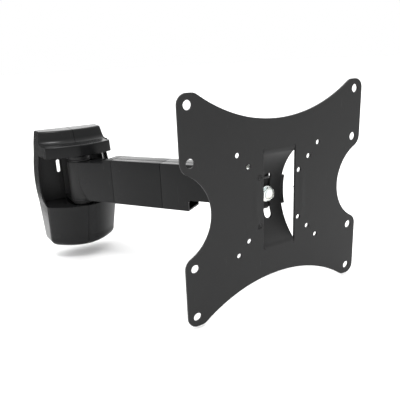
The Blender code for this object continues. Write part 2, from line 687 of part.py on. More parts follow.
def main():
    clear_scene()
    materials = {
        "steel": finish("black_powder_coat", (0.03, 0.03, 0.031), 0.55, 0.1),
        "plastic": finish("satin_black_plastic", (0.02, 0.02, 0.021), 0.35, 0),
        "zinc": finish("zinc_plate", (0.75, 0.77, 0.76), 0.25, 1),
        "dark": finish("black_zinc", (0.06, 0.06, 0.063), 0.35, 1),
        "nylon": finish("black_nylon", (0.035, 0.035, 0.036), 0.5, 0),
    }
    frame = pivot("wall_frame", None, (0, 0, 0), 0)
    hub = pivot("hub_axis", frame, (0, -WALL_TO_HUB, 0), 0)
    arm = pivot("arm_pivot", hub, (0, 0, 0), ARM_TURN)
    head_in_arm = pivot("head_in_arm", arm, (0, -ARM_REACH, 0), 0)
    head = pivot("head_pivot", head_in_arm, (0, 0, 0), -ARM_TURN)
    tilt = pivot("tilt_pivot", head, (0, -HEAD_TO_PLATE - TILT_AHEAD, 0), 0)
    make_wall_bracket(frame, hub, materials)
    make_arm(arm, head_in_arm, materials)
    make_head(head, materials)
    make_screen_plate(tilt, materials["steel"])


main()
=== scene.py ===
"""The finished look of the full motion wall mount.

Every piece is a grid of points worked out from a formula, and it moves with one of the mount's
bodies. Lengths are in metres, +Z is up, and the wall is the plane Y = 0.
"""

import json
from math import pi, radians

import bpy
import numpy as np
from mathutils import Matrix, Vector


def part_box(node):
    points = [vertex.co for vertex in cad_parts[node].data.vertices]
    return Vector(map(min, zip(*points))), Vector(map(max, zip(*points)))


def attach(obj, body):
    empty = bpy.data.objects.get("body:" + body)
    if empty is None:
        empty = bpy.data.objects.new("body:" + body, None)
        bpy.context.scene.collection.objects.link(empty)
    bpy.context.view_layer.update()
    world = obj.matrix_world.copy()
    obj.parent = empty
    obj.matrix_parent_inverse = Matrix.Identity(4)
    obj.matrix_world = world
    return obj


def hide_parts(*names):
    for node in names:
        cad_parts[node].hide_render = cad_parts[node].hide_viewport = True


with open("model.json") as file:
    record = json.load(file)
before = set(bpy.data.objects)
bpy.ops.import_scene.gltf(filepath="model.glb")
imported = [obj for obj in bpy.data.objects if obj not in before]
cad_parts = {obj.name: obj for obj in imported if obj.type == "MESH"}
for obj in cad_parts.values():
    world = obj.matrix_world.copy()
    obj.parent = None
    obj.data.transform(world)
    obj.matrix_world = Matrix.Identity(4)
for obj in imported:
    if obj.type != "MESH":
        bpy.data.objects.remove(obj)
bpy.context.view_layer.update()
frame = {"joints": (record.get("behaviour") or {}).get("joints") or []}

MM = 0.001
TURNED_SIDES = 72

# Joints: places of the three axes at rest, and the level directions along and across the arm
JOINTS = {joint["name"]: np.array(joint["pos_m"]) for joint in frame["joints"]}
HUB = JOINTS["wall_swivel"]
HEAD = JOINTS["head_swivel"]
TILT = JOINTS["screen_tilt"]
ARM_REACH = np.linalg.norm(HUB - HEAD)
TO_WALL = (HUB - HEAD) / ARM_REACH
ACROSS = np.array([TO_WALL[1], -TO_WALL[0], 0])

# Screen plate
PLATE_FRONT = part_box("screen_plate")[0].y
PLATE_MIDDLE = np.array([TILT[0], PLATE_FRONT, TILT[2]])
PLATE_HALF = 110 * MM
WAIST_HALF = 79.7 * MM
PLATE_SHEET = 2.5 * MM
TOP_CURVE = 157 * MM
SIDE_CURVE = 45 * MM
CORNER_CURVE = 10 * MM
SHOULDER_CURVE = 12 * MM
SADDLE_HALF = 19.6 * MM
SADDLE_KERF = 0.4 * MM
SADDLE_CURVE = 62 * MM
SADDLE_BEND = 7.2 * MM
TILT_AHEAD = PLATE_FRONT - TILT[1]
SLOT_HALF = 4.7 * MM
SLOT_TOP = 22.5 * MM
SLOT_BOTTOM = -26 * MM
LARGE_HOLE = 4.3 * MM
SMALL_HOLE = 2.6 * MM
LARGE_HOLES = ((100, 100), (100, 50))
SMALL_HOLES = ((50, 50), (37.5, 37.5), (25, 25))
DRILL_SIDES = 40
RIDGE_PLACE = 29 * MM
RIDGE_HALF_WIDTH = 3.4 * MM
RIDGE_HALF_LENGTH = 17 * MM
RIDGE_HEIGHT = 0.4 * MM

# Arm
SLEEVE_HALF = 14 * MM
SLEEVE_TOP = 25 * MM
SLEEVE_BOTTOM = -29 * MM
SLEEVE_WALL = 2.2 * MM
NEAR_BAND = 9.7 * MM
LID_GROOVE = 1.3 * MM
LID_SHEET = 2.1 * MM
GAP = 0.3 * MM
SLEEVE_START = 38 * MM
SLEEVE_NOTCH_END = 71 * MM
SLEEVE_NOTCH_TOP = -16 * MM
SLEEVE_SEAM = 105 * MM
SLEEVE_END = 172 * MM
KNUCKLE_STEP = 181 * MM
KNUCKLE_END = 223 * MM
KNUCKLE_TOP = 20 * MM
KNUCKLE_HALF = 13.7 * MM
KNUCKLE_CURVE = 41 * MM
HUB_RADIUS = 15 * MM
HEAD_RADIUS = 9.5 * MM
HUB_BOLT_RADIUS = 5 * MM
HEAD_BOLT_RADIUS = 4 * MM
BORE_PLAY = 0.3 * MM
TUBE_HALF = 10 * MM
TUBE_BOTTOM = -17 * MM
TUBE_TOP = 13 * MM
TUBE_WALL = 2 * MM
EDGE = 0.1 * MM

# Folded channels: steel, width
BRACKET_STEEL = 4 * MM
BRACKET_WIDTH = 26 * MM
YOKE_STEEL = 3 * MM
YOKE_WIDTH = 23 * MM

# Bolts and nuts: sizes as shares of the bolt's radius
HEX_FLAT = 1.62
CROWN_SHARE = 0.96
HEX_CHAMFER = np.tan(radians(28))
HEX_SIDES = 96

# Screw slots of the wall plate: place across, bottom and top
WALL_SLOTS = ((24 * MM, 41 * MM, 49 * MM), (17 * MM, -1 * MM, 16 * MM), (22 * MM, -80 * MM, -66 * MM))
WALL_SLOT_HALF = 2.25 * MM
WALL_PLATE_INSET = 3.1 * MM

# Wall cover: heights down the hood, with the half width at the wall, the half width at the
# front corner, and the depths of the corner and of the middle of the bowed front
COVER_WALL = 2.2 * MM
COVER_SEAM = 0.15 * MM
HOOD_TOP = 57 * MM
LEDGE_TOP = 41 * MM
LEDGE_BOTTOM = 27 * MM
LEDGE_REACH = 25 * MM
POCKET_TOP = -35.6 * MM
POCKET_TURN = -84 * MM
POCKET_FOOT = -94 * MM
RIM_DEPTH = 21 * MM
RIM_SWEEP_START = -22 * MM
RIM_WIDEST = 49 * MM
RIM_WIDEST_HEIGHT = -9 * MM
CORNER_ROUND = 2.2 * MM
LEDGE_OPENING = 12 * MM
POCKET_OPENING = 15.5 * MM
SHELF_BACK = 7.5 * MM
SIDE_COLUMNS = 9


# Placing: each turns a piece's own points into places at rest


def in_row(points):
    return points


def in_arm(points):
    """Across the arm, along it towards the wall from the hub's axis, and up."""
    x, y, z = np.moveaxis(points, -1, 0)
    flat = x[..., None] * ACROSS + y[..., None] * TO_WALL
    return HUB + flat + z[..., None] * np.array([0, 0, 1])


def at_hub(points):
    return points + HUB


def at_head(points):
    return points + HEAD


def on_tilt_bolt(points):
    """The third number runs out into the room from the head's upright axis."""
    x, y, z = np.moveaxis(points, -1, 0)
    return HEAD + np.stack([x, -z, y], axis=-1)


# Outlines in a plane, as arrays of points


def bend(centre, radius, start, end, steps):
    """Points on a circle from one angle to another."""
    turn = np.linspace(start, end, steps + 1)
    return np.stack([centre[0] + radius * np.cos(turn), centre[1] + radius * np.sin(turn)], -1)


def rounded(corners, radii, steps=5):
    """Each corner becomes an arc: its centre lies on the corner's halving line, at the radius
    over the sine of half the corner's angle, and it starts and ends where it touches the sides."""
    corners = np.asarray(corners, float)
    radii = np.broadcast_to(np.asarray(radii, float), len(corners))[:, None]
    back = np.roll(corners, 1, axis=0) - corners
    ahead = np.roll(corners, -1, axis=0) - corners
    back /= np.linalg.norm(back, axis=1, keepdims=True)
    ahead /= np.linalg.norm(ahead, axis=1, keepdims=True)
    middle = back + ahead
    middle /= np.linalg.norm(middle, axis=1, keepdims=True)
    half_sine = np.sqrt((1 - (back * ahead).sum(1, keepdims=True)) / 2)
    half_cosine = np.sqrt(1 - half_sine**2)
    centres = corners + middle * radii / half_sine
    first = corners + back * radii * half_cosine / half_sine - centres
    last = corners + ahead * radii * half_cosine / half_sine - centres
    turn = np.arccos(np.clip((first * last).sum(1) / radii[:, 0] ** 2, -1, 1))[:, None, None]
    share = np.linspace(0, 1, steps + 1)[None, :, None]
    swept = np.sin((1 - share) * turn) * first[:, None] + np.sin(share * turn) * last[:, None]
    return (centres[:, None] + swept / np.sin(turn)).reshape(-1, 2)


def outline_normals(outline):
    """At each point, the outward normal of a counter-clockwise outline, mitred so that a move
    of one unit along it moves both sides by one unit."""
    sides = np.roll(outline, -1, axis=0) - outline
    normals = np.stack([sides[:, 1], -sides[:, 0]], -1)
    normals /= np.linalg.norm(normals, axis=1, keepdims=True)
    both = normals + np.roll(normals, 1, axis=0)
    return both / np.maximum((both * both).sum(1, keepdims=True) / 2, 0.5)


def counter_clockwise(outline):
    following = np.roll(outline, -1, axis=0)
    area = (outline[:, 0] * following[:, 1] - outline[:, 1] * following[:, 0]).sum()
    return outline if area > 0 else outline[::-1]


# Meshes


def quads_between(rows, columns, wrap_rows, wrap_columns):
    """Corner numbers of every square of a grid of points."""
    row = np.arange(rows if wrap_rows else rows - 1)[:, None]
    column = np.arange(columns if wrap_columns else columns - 1)[None, :]
    next_row, next_column = (row + 1) % rows, (column + 1) % columns
    corners = [
        row * columns + column,
        row * columns + next_column,
        next_row * columns + next_column,
        next_row * columns + column,
    ]
    return np.stack(corners, -1).reshape(-1, 4)


def signed_volume(points, faces):
    total = 0.0
    for face in faces:
        first = points[face[0]]
        fan = np.cross(points[list(face[1:-1])], points[list(face[2:])])
        total += (fan @ first).sum()
    return total


def to_mesh(name, points, quads, more_faces=(), closed=True):
    """A mesh from points and faces, turned to face outwards if it is a closed body."""
    points = np.asarray(points, float)
    faces = [tuple(face) for face in np.asarray(quads).tolist()]
    faces += [tuple(int(i) for i in face) for face in more_faces]
    if closed and signed_volume(points, faces) < 0:
        faces = [face[::-1] for face in faces]
    mesh = bpy.data.meshes.new(name)
    mesh.from_pydata(points.tolist(), [], faces)
    mesh.validate()
    mesh.shade_smooth()
    mesh.set_sharp_from_angle(angle=radians(32))
    return mesh


def loft(name, rings, place=in_row):
    """A closed body carried through rings of points, with a flat end on the first and last."""
    rows, columns, _ = rings.shape
    quads = quads_between(rows, columns, False, True)
    ends = [np.arange(columns)[::-1], np.arange(columns) + (rows - 1) * columns]
    return to_mesh(name, place(rings).reshape(-1, 3), quads, ends)


def moulded(name, outline, low, high, round_over, plane, place=in_row, steps=3):
    """An outline carried from low to high, drawn in by a quarter circle at each end: a row at
    angle a stands round_over times 1 - sin a from its end and is drawn in by 1 - cos a."""
    outline = counter_clockwise(outline)
    turn = np.linspace(0, pi / 2, steps + 1)
    rise = round_over * (1 - np.cos(turn))
    inset = round_over * (1 - np.sin(turn))
    heights = np.concatenate([low + rise, high - rise[::-1]])
    insets = np.concatenate([inset, inset[::-1]])
    flat = outline[None] - insets[:, None, None] * outline_normals(outline)[None]
    along = np.broadcast_to(heights[:, None], flat.shape[:2])
    order = {"XY": (0, 1, 2), "XZ": (0, 2, 1), "YZ": (2, 0, 1)}[plane]
    rings = np.stack([flat[..., 0], flat[..., 1], along], -1)[..., order]
    return loft(name, rings, place)


def turned(name, profile, place=in_row, sides=TURNED_SIDES):
    """A ring: a closed profile of (radius, height) turned about the upright axis."""
    profile = np.asarray(profile, float)
    turn = np.linspace(0, 2 * pi, sides, endpoint=False)
    radius, height = profile[:, 0][:, None], profile[:, 1][:, None]
    grid = np.stack([radius * np.cos(turn), radius * np.sin(turn), height + 0 * turn], -1)
    quads = quads_between(len(profile), sides, True, True)
    return to_mesh(name, place(grid).reshape(-1, 3), quads)


def ring_profile(inner, outer, low, high, edge):
    """A rectangle with rounded corners, for washers, barrels and bushes."""
    corners = [(inner, low), (outer, low), (outer, high), (inner, high)]
    return rounded(corners, edge, 3)


# Materials


def add_node(tree, kind, **sockets):
    node = tree.nodes.new(kind)
    for name, value in sockets.items():
        node.inputs[name.replace("_", " ")].default_value = value
    return node


def shader_group(name, inputs, outputs):
    """A shader node group with number, colour and vector sockets: (name, type, default)."""
    group = bpy.data.node_groups.new(name, "ShaderNodeTree")
    for socket_name, kind, default in inputs:
        socket = group.interface.new_socket(socket_name, in_out="INPUT", socket_type=kind)
        if default is not None:
            socket.default_value = default
    for socket_name, kind in outputs:
        group.interface.new_socket(socket_name, in_out="OUTPUT", socket_type=kind)
    return group, group.nodes.new("NodeGroupInput"), group.nodes.new("NodeGroupOutput")


def noise(tree, vector, scale, detail=3.0, roughness=0.5):
    node = add_node(tree, "ShaderNodeTexNoise", Detail=detail, Roughness=roughness)
    tree.links.new(vector, node.inputs["Vector"])
    if isinstance(scale, (int, float)):
        node.inputs["Scale"].default_value = scale
    else:
        tree.links.new(scale, node.inputs["Scale"])
    return node.outputs["Fac"]


def stretch(tree, value, *ends):
    """Maps a value from one range onto another; the ends are from low, from high, to low, to high."""
    node = tree.nodes.new("ShaderNodeMapRange")
    for name, number in zip(("From Min", "From Max", "To Min", "To Max"), ends):
        node.inputs[name].default_value = number
    tree.links.new(value, node.inputs["Value"])
    return node.outputs["Result"]


def combine(tree, operation, first, second):
    node = tree.nodes.new("ShaderNodeMath")
    node.operation = operation
    for socket, value in zip(node.inputs, (first, second)):
        if isinstance(value, (int, float)):
            socket.default_value = value
        else:
            tree.links.new(value, socket)
    return node.outputs["Value"]


def make_grain_group():
    """Pebbled grain: a cell pattern softened by noise. Height is for bumps, Pits for colour."""
    group, start, end = shader_group(
        "moulded_grain",
        [("Vector", "NodeSocketVector", None), ("Scale", "NodeSocketFloat", 900.0)],
        [("Height", "NodeSocketFloat"), ("Pits", "NodeSocketFloat")],
    )
    cells = add_node(group, "ShaderNodeTexVoronoi")
    cells.feature = "SMOOTH_F1"
    group.links.new(start.outputs["Vector"], cells.inputs["Vector"])
    group.links.new(start.outputs["Scale"], cells.inputs["Scale"])
    fine = noise(group, start.outputs["Vector"], start.outputs["Scale"], 2.0)
    height = combine(group, "ADD", cells.outputs["Distance"], combine(group, "MULTIPLY", fine, 0.6))
    group.links.new(height, end.inputs["Height"])
    group.links.new(stretch(group, cells.outputs["Distance"], 0.1, 0.6, 0, 1), end.inputs["Pits"])
    return group


def make_handling_group():
    """Broad cloudy marks and thin scratches left by handling, each from 0 to 1."""
    group, start, end = shader_group(
        "handling_marks",
        [("Vector", "NodeSocketVector", None), ("Scale", "NodeSocketFloat", 22.0)],
        [("Clouds", "NodeSocketFloat"), ("Scratches", "NodeSocketFloat")],
    )
    clouds = noise(group, start.outputs["Vector"], start.outputs["Scale"], 4.0, 0.55)
    group.links.new(stretch(group, clouds, 0.35, 0.68, 0, 1), end.inputs["Clouds"])
    mapping = add_node(group, "ShaderNodeMapping")
    mapping.inputs["Rotation"].default_value = (0.4, 0.3, 0.7)
    mapping.inputs["Scale"].default_value = (1400, 22, 60)
    group.links.new(start.outputs["Vector"], mapping.inputs["Vector"])
    lines = noise(group, mapping.outputs["Vector"], 1.0, 1.0)
    thin = stretch(group, lines, 0.70, 0.78, 0, 1)
    patches = stretch(group, noise(group, start.outputs["Vector"], 40.0, 1.0), 0.55, 0.7, 0, 1)
    group.links.new(combine(group, "MULTIPLY", thin, patches), end.inputs["Scratches"])
    return group


def use_group(tree, group, vector, scale):
    node = tree.nodes.new("ShaderNodeGroup")
    node.node_tree = group
    tree.links.new(vector, node.inputs["Vector"])
    node.inputs["Scale"].default_value = scale
    return node


def mix_colours(tree, share, first, second):
    node = tree.nodes.new("ShaderNodeMix")
    node.data_type = "RGBA"
    tree.links.new(share, node.inputs["Factor"])
    for name, colour in (("A", first), ("B", second)):
        socket = [s for s in node.inputs if s.name == name and s.type == "RGBA"][0]
        if isinstance(colour, tuple):
            socket.default_value = (*colour, 1)
        else:
            tree.links.new(colour, socket)
    return [s for s in node.outputs if s.type == "RGBA"][0]


def new_material(name):
    material = bpy.data.materials.new(name)
    material.use_nodes = True
    tree = material.node_tree
    shader = tree.nodes["Principled BSDF"]
    place = tree.nodes.new("ShaderNodeTexCoord").outputs["Object"]
    return material, tree, shader, place


def add_bump(tree, shader, height, distance, strength):
    bump = add_node(tree, "ShaderNodeBump", Distance=distance, Strength=strength)
    tree.links.new(height, bump.inputs["Height"])
    tree.links.new(bump.outputs["Normal"], shader.inputs["Normal"])


GRAIN = make_grain_group()
HANDLING = make_handling_group()


def make_finish(
    name, grain_scale, marks_scale, shades, worn, roughness, bump,
    metallic=0, specular=0.5, shaded_by="Clouds", dulled_by="Clouds",
):
    """A grained surface: one mask mixes its two shades, scratches show the worn colour, another
    mask spreads its roughness, and the grain's height is its bump of (distance, strength)."""
    material, tree, shader, place = new_material(name)
    grain = use_group(tree, GRAIN, place, grain_scale)
    marks = use_group(tree, HANDLING, place, marks_scale)
    masks = {"Clouds": marks.outputs["Clouds"], "Pits": grain.outputs["Pits"]}
    colour = mix_colours(tree, masks[shaded_by], *shades)
    if worn:
        colour = mix_colours(tree, marks.outputs["Scratches"], colour, worn)
    tree.links.new(colour, shader.inputs["Base Color"])
    tree.links.new(stretch(tree, masks[dulled_by], 0, 1, *roughness), shader.inputs["Roughness"])
    shader.inputs["Metallic"].default_value = metallic
    shader.inputs["Specular IOR Level"].default_value = specular
    add_bump(tree, shader, grain.outputs["Height"], *bump)
    return material


# Matt black with orange peel and a faint cloudiness
POWDER_COAT = make_finish(
    "matt_powder_coat", 850.0, 16.0, ((0.0105, 0.0105, 0.0107), (0.0140, 0.0140, 0.0142)),
    (0.03, 0.03, 0.03), (0.5, 0.58), (0.00006, 0.5), specular=0.3,
)
# Satin black moulding with a fine pebbled grain, smoother where it is handled
PLASTIC = make_finish(
    "satin_black_plastic", 1500.0, 26.0, ((0.0055, 0.0056, 0.0058), (0.0080, 0.0082, 0.0085)),
    (0.028, 0.028, 0.028), (0.2, 0.28), (0.00003, 0.35), specular=0.17, shaded_by="Pits",
)
# Bright zinc with a faint blue and straw tint and fine crystals
ZINC = make_finish(
    "zinc_plate", 2200.0, 160.0, ((0.78, 0.84, 0.84), (0.86, 0.85, 0.78)),
    (0.45, 0.5, 0.47), (0.18, 0.34), (0.00002, 0.3), metallic=1,
)
# Duller and a little greyer than the mouldings
NYLON = make_finish(
    "black_nylon", 1800.0, 120.0, ((0.02, 0.02, 0.021), (0.03, 0.03, 0.031)),
    None, (0.42, 0.55), (0.00002, 0.3), dulled_by="Pits",
)
# Dark metal for the hub's pivot hardware, rubbed lighter where a spanner has been
DARK_HUB_METAL = make_finish(
    "black_zinc", 2200.0, 160.0, ((0.045, 0.045, 0.05), (0.075, 0.072, 0.07)),
    (0.3, 0.3, 0.3), (0.3, 0.42), (0.00002, 0.3), metallic=1,
)


# Pieces


def add_object(name, data):
    made = bpy.data.objects.new(name, data)
    bpy.context.scene.collection.objects.link(made)
    return made


def fit(mesh, body, material, nodes):
    """Makes the piece of a mesh: it rides on its body and stands for the named solids."""
    piece = add_object(mesh.name, mesh)
    mesh.materials.append(material)
    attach(piece, body)
    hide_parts(*nodes)
    return piece


def cutter(mesh, body):
    """A hidden body for a Boolean, carried along with the piece that it cuts."""
    helper = add_object(mesh.name, mesh)
    helper.hide_render = True
    helper.display_type = "WIRE"
    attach(helper, body)
    return helper


def cut(piece, helper, operation="DIFFERENCE"):
    boolean = piece.modifiers.new(helper.name, "BOOLEAN")
    boolean.operation = operation
    boolean.solver = "EXACT"
    boolean.object = helper


def drill(piece, body, name, outline, low, high, plane, place, operation="DIFFERENCE"):
    """Cuts an outline carried from low to high out of a piece, or keeps only what lies in it."""
    cut(piece, cutter(moulded(name, outline, low, high, EDGE, plane, place), body), operation)


def circle(radius, sides=48):
    return bend((0, 0), radius, 0, 2 * pi, sides)[:-1]


def soften(piece, width):
    """A small round on every sharp edge."""
    bevel = piece.modifiers.new("Soft_edges", "BEVEL")
    bevel.width = width
    bevel.segments = 2
    bevel.limit_method = "ANGLE"
    bevel.angle_limit = radians(38)
    bevel.use_clamp_overlap = False
    bevel.harden_normals = True


def thicken(piece, sheet, even=True):
    wall = piece.modifiers.new("Wall", "SOLIDIFY")
    wall.thickness = sheet
    wall.offset = -1
    wall.use_even_offset = even


# Screen plate


def plate_quarter():
    """From the waist to the top: side arc, shoulder, round corner, and the long top arc."""
    side = (WAIST_HALF + SIDE_CURVE, 0)
    shoulder_x = PLATE_HALF - SHOULDER_CURVE
    lean = np.arccos((side[0] - shoulder_x) / (SIDE_CURVE + SHOULDER_CURVE))
    shoulder = (shoulder_x, (SIDE_CURVE + SHOULDER_CURVE) * np.sin(lean))
    corner = PLATE_HALF - CORNER_CURVE
    top = (0, WAIST_HALF + TOP_CURVE)
    drop = np.arcsin((top[1] - corner) / (TOP_CURVE + CORNER_CURVE))
    lobe = ((TOP_CURVE + CORNER_CURVE) * np.cos(drop), corner)
    return np.concatenate([
        bend(side, SIDE_CURVE, pi, pi - lean, 26)[:-1],
        bend(shoulder, SHOULDER_CURVE, -lean, 0, 9),
        bend((corner, corner), CORNER_CURVE, 0, pi / 2, 12),
        bend(lobe, CORNER_CURVE, pi / 2, pi - drop, 5)[1:],
        bend(top, TOP_CURVE, -drop, -pi / 2, 24)[1:],
    ])


def saddle_profile():
    """Height and depth down the pressed saddle: a lip bent back, then a long arc about the
    tilt axis, and the same lip at the bottom."""
    reach = SADDLE_CURVE + SADDLE_BEND
    lip = np.sqrt(reach**2 - (TILT_AHEAD + SADDLE_BEND) ** 2)
    lean = np.arccos((TILT_AHEAD + SADDLE_BEND) / reach)
    top = bend((lip, SADDLE_BEND), SADDLE_BEND, -pi / 2, -pi / 2 - lean, 9)[:-1]
    bowl = bend((0, -TILT_AHEAD), SADDLE_CURVE, pi / 2 - lean, pi / 2 + lean, 48)
    return np.concatenate([top, bowl, (top * [-1, 1])[::-1]]), lip


def ridge_height(u, v):
    """Two long stiffening ribs: a half wave across each, faded out towards its ends."""
    across = np.clip(1 - ((np.abs(u) - RIDGE_PLACE) / RIDGE_HALF_WIDTH) ** 2, 0, 1)
    past = np.clip(np.abs(v) / RIDGE_HALF_LENGTH, 0, 1)
    return RIDGE_HEIGHT * across * (1 - past**8)


def make_screen_plate():
    """The front skin runs out along rays from the window's edge to the plate's outline, and the
    saddle's grid hangs between the window's top and bottom edges."""
    profile, lip = saddle_profile()
    quarter = plate_quarter()
    outline = np.concatenate([quarter, (quarter * [-1, 1])[::-1], -quarter, (quarter * [1, -1])[::-1]])
    angles = np.arctan2(outline[:, 1], outline[:, 0])
    radii = np.hypot(outline[:, 0], outline[:, 1])
    columns = np.linspace(-SADDLE_HALF, SADDLE_HALF, 15)
    window = SADDLE_HALF + SADDLE_KERF
    slit_end = lip - SADDLE_KERF
    outer_side = np.abs(np.abs(angles) - pi / 2) > np.arctan2(window, slit_end) + 1e-4
    strip_rays = np.concatenate([np.arctan2(lip, columns), np.arctan2(-lip, columns)])
    slit_rays = np.arctan2(slit_end * np.array([1, 1, -1, -1]), window * np.array([1, -1, 1, -1]))
    rays = np.unique(np.round(np.concatenate([angles[outer_side], strip_rays, slit_rays]), 9))
    rim = np.interp(rays, angles[np.argsort(angles)], radii[np.argsort(angles)], period=2 * pi)
    beside = np.abs(np.abs(rays) - pi / 2) > np.arctan2(SADDLE_HALF, lip) + 1e-7
    sine, cosine = np.abs(np.sin(rays)), np.abs(np.cos(rays))
    sine, cosine = np.maximum(sine, 1e-9), np.maximum(cosine, 1e-9)
    edge = np.where(beside, np.minimum(window / cosine, slit_end / sine), lip / sine)
    share = np.linspace(0, 1, 27)[:, None] ** 1.4
    radius = edge + (rim - edge) * share
    u, v = radius * np.cos(rays), radius * np.sin(rays)
    skin = np.stack([u, -ridge_height(u, v), v], -1)
    strip = np.stack([
        np.broadcast_to(columns, (len(profile), len(columns))),
        np.broadcast_to(profile[:, 1][:, None], (len(profile), len(columns))),
        np.broadcast_to(profile[:, 0][:, None], (len(profile), len(columns))),
    ], -1)
    skin_quads = quads_between(len(share), len(rays), False, True)[:, ::-1]
    strip_quads = quads_between(len(profile), len(columns), False, False)[:, ::-1] + skin[..., 0].size
    points = np.concatenate([skin.reshape(-1, 3), strip.reshape(-1, 3)])
    points += PLATE_MIDDLE
    mesh = to_mesh("screen_plate_pressed", points, np.concatenate([skin_quads, strip_quads]), closed=False)
    plate = fit(mesh, "plate", POWDER_COAT, ["screen_plate"])
    weld = plate.modifiers.new("Join_saddle", "WELD")
    weld.merge_threshold = 0.01 * MM
    thicken(plate, PLATE_SHEET)
    cut(plate, cutter(plate_drills(), "plate"))
    soften(plate, 0.3 * MM)


def plate_drills():
    """Round drills for the screen holes, and a long one for the saddle's slot."""
    spots = [(su * u, sv * v, LARGE_HOLE) for u, v in LARGE_HOLES for su in (1, -1) for sv in (1, -1)]
    spots += [(su * u, sv * v, SMALL_HOLE) for u, v in SMALL_HOLES for su in (1, -1) for sv in (1, -1)]
    sides = DRILL_SIDES
    turn = np.linspace(0, 2 * pi, sides, endpoint=False)
    spots = np.array(spots) * [MM, MM, 1]
    ends = np.array([-5 * MM, 8 * MM])
    u = spots[:, 0, None] + spots[:, 2, None] * np.cos(turn)
    v = spots[:, 1, None] + spots[:, 2, None] * np.sin(turn)
    upper = bend((0, SLOT_TOP - SLOT_HALF), SLOT_HALF, 0, pi, sides // 2 - 1)
    lower = bend((0, SLOT_BOTTOM + SLOT_HALF), SLOT_HALF, pi, 2 * pi, sides // 2 - 1)
    slot = np.concatenate([upper, lower])
    u, v = np.concatenate([u, slot[None, :, 0]]), np.concatenate([v, slot[None, :, 1]])
    depth = np.broadcast_to(ends, (len(u), 2)).copy()
    depth[-1] = [SLOT_HALF * 2, SADDLE_CURVE]
    grid = np.stack(np.broadcast_arrays(u[:, None, :], depth[:, :, None], v[:, None, :]), -1)
    points = grid.reshape(-1, 3) + PLATE_MIDDLE
    walls = quads_between(2, sides, False, True)
    starts = np.arange(len(u)) * 2 * sides
    quads = (starts[:, None, None] + walls[None]).reshape(-1, 4)
    ring = np.arange(sides)
    lids = [start + order for start in starts for order in (ring[::-1], ring + sides)]
    return to_mesh("plate_drills", points, quads, lids)


# Wall cover


def cover_rows(height, wall_half, front_half, corner, middle, rim_depth=None):
    """Level rows of the cover's skin. Each runs from the wall along a straight side, turns the
    front corner on a quadratic curve, and follows a parabola to the seam in the middle."""
    columns = [np.asarray(value)[:, None] for value in (wall_half, front_half, corner, middle)]
    wall_half, front_half, corner, middle = columns
    side_end = corner - CORNER_ROUND
    share = np.linspace(0, 1, SIDE_COLUMNS)[None]
    if rim_depth is None:
        depth = share * side_end
    else:
        rim_depth = rim_depth[:, None]
        ahead = rim_depth + (side_end - rim_depth) * share[:, 1:]
        depth = np.concatenate([share * rim_depth, ahead], 1)
    side_x = wall_half + (front_half - wall_half) * depth / corner
    turn = np.linspace(0, 1, 7)[None, 1:-1]
    start_x = side_x[:, -1:]
    end_x = front_half - CORNER_ROUND
    end_depth = corner + (middle - corner) * (1 - (end_x / front_half) ** 2)
    shares = (1 - turn) ** 2, 2 * turn * (1 - turn), turn**2
    round_x = shares[0] * start_x + shares[1] * front_half + shares[2] * end_x
    round_depth = shares[0] * side_end + shares[1] * corner + shares[2] * end_depth
    front_x = end_x + (COVER_SEAM - end_x) * np.linspace(0, 1, 22)[None]
    front_depth = corner + (middle - corner) * (1 - (front_x / front_half) ** 2)
    x = np.concatenate([side_x, round_x, front_x], 1)
    y = -np.concatenate([depth, round_depth, front_depth], 1)
    return np.stack([x, y, np.broadcast_to(np.asarray(height)[:, None], x.shape)], -1)


def hood_rows():
    """Down the hood: a rounded top edge, a leaning face, a hollow fillet, the ledge's flat top,
    its rounded nose, and its front face."""
    behind = -12 * MM
    corners = [
        (HOOD_TOP, behind), (HOOD_TOP, 0), (LEDGE_TOP, 0), (LEDGE_TOP, LEDGE_REACH),
        (LEDGE_BOTTOM, LEDGE_REACH), (LEDGE_BOTTOM, behind),
    ]
    radii = np.array([1, 2, 5.5, 1.6, 0.1, 1]) * MM
    curve = rounded(corners, radii, 6).reshape(6, 7, 2)
    height, reach = np.concatenate([curve[1], curve[2], curve[3], [[LEDGE_BOTTOM, LEDGE_REACH]]]).T
    inset = np.minimum(reach, 0)
    levels = np.array([LEDGE_BOTTOM, LEDGE_TOP, HOOD_TOP])
    out = np.clip(reach / LEDGE_REACH, 0, 1)
    wall_half = np.interp(height, levels, np.array([45.6, 44, 41.2]) * MM) + inset
    corner = np.interp(height, levels, np.array([24, 24, 20]) * MM) + reach
    middle = np.interp(height, levels, np.array([36, 36, 31]) * MM) + reach - out * MM
    lean = np.interp(height, levels, [0.0735, 0.0571, 0.078])
    front_half = wall_half - lean * corner
    rim_depth = np.minimum(RIM_DEPTH, 0.8 * (corner - CORNER_ROUND))
    return cover_rows(height, wall_half, front_half, corner, middle, rim_depth)


def pocket_rows():
    """Down the pocket: a face that draws in towards the wall, and an elliptic turn at its foot."""
    face = np.linspace(0, 1, 12)
    turn = np.sin(np.linspace(0, pi / 2, 9))[1:]
    face_height = POCKET_TOP + (POCKET_TURN - POCKET_TOP) * face
    height = np.concatenate([face_height, POCKET_TURN + (POCKET_FOOT - POCKET_TURN) * turn])
    down = np.concatenate([face, np.ones_like(turn)])
    drawn = np.concatenate([0 * face, 1 - np.sqrt(1 - turn**2 * 0.999)])
    wall_half = (47.4 - 2.4 * down - 9.0 * drawn) * MM
    front_half = (45.8 - 2.0 * down - 9.4 * drawn) * MM
    corner = (41 - 16 * down - 1.5 * drawn) * MM
    middle = (64 - 17 * down - 4 * drawn) * MM
    return cover_rows(height, wall_half, front_half, corner, middle)


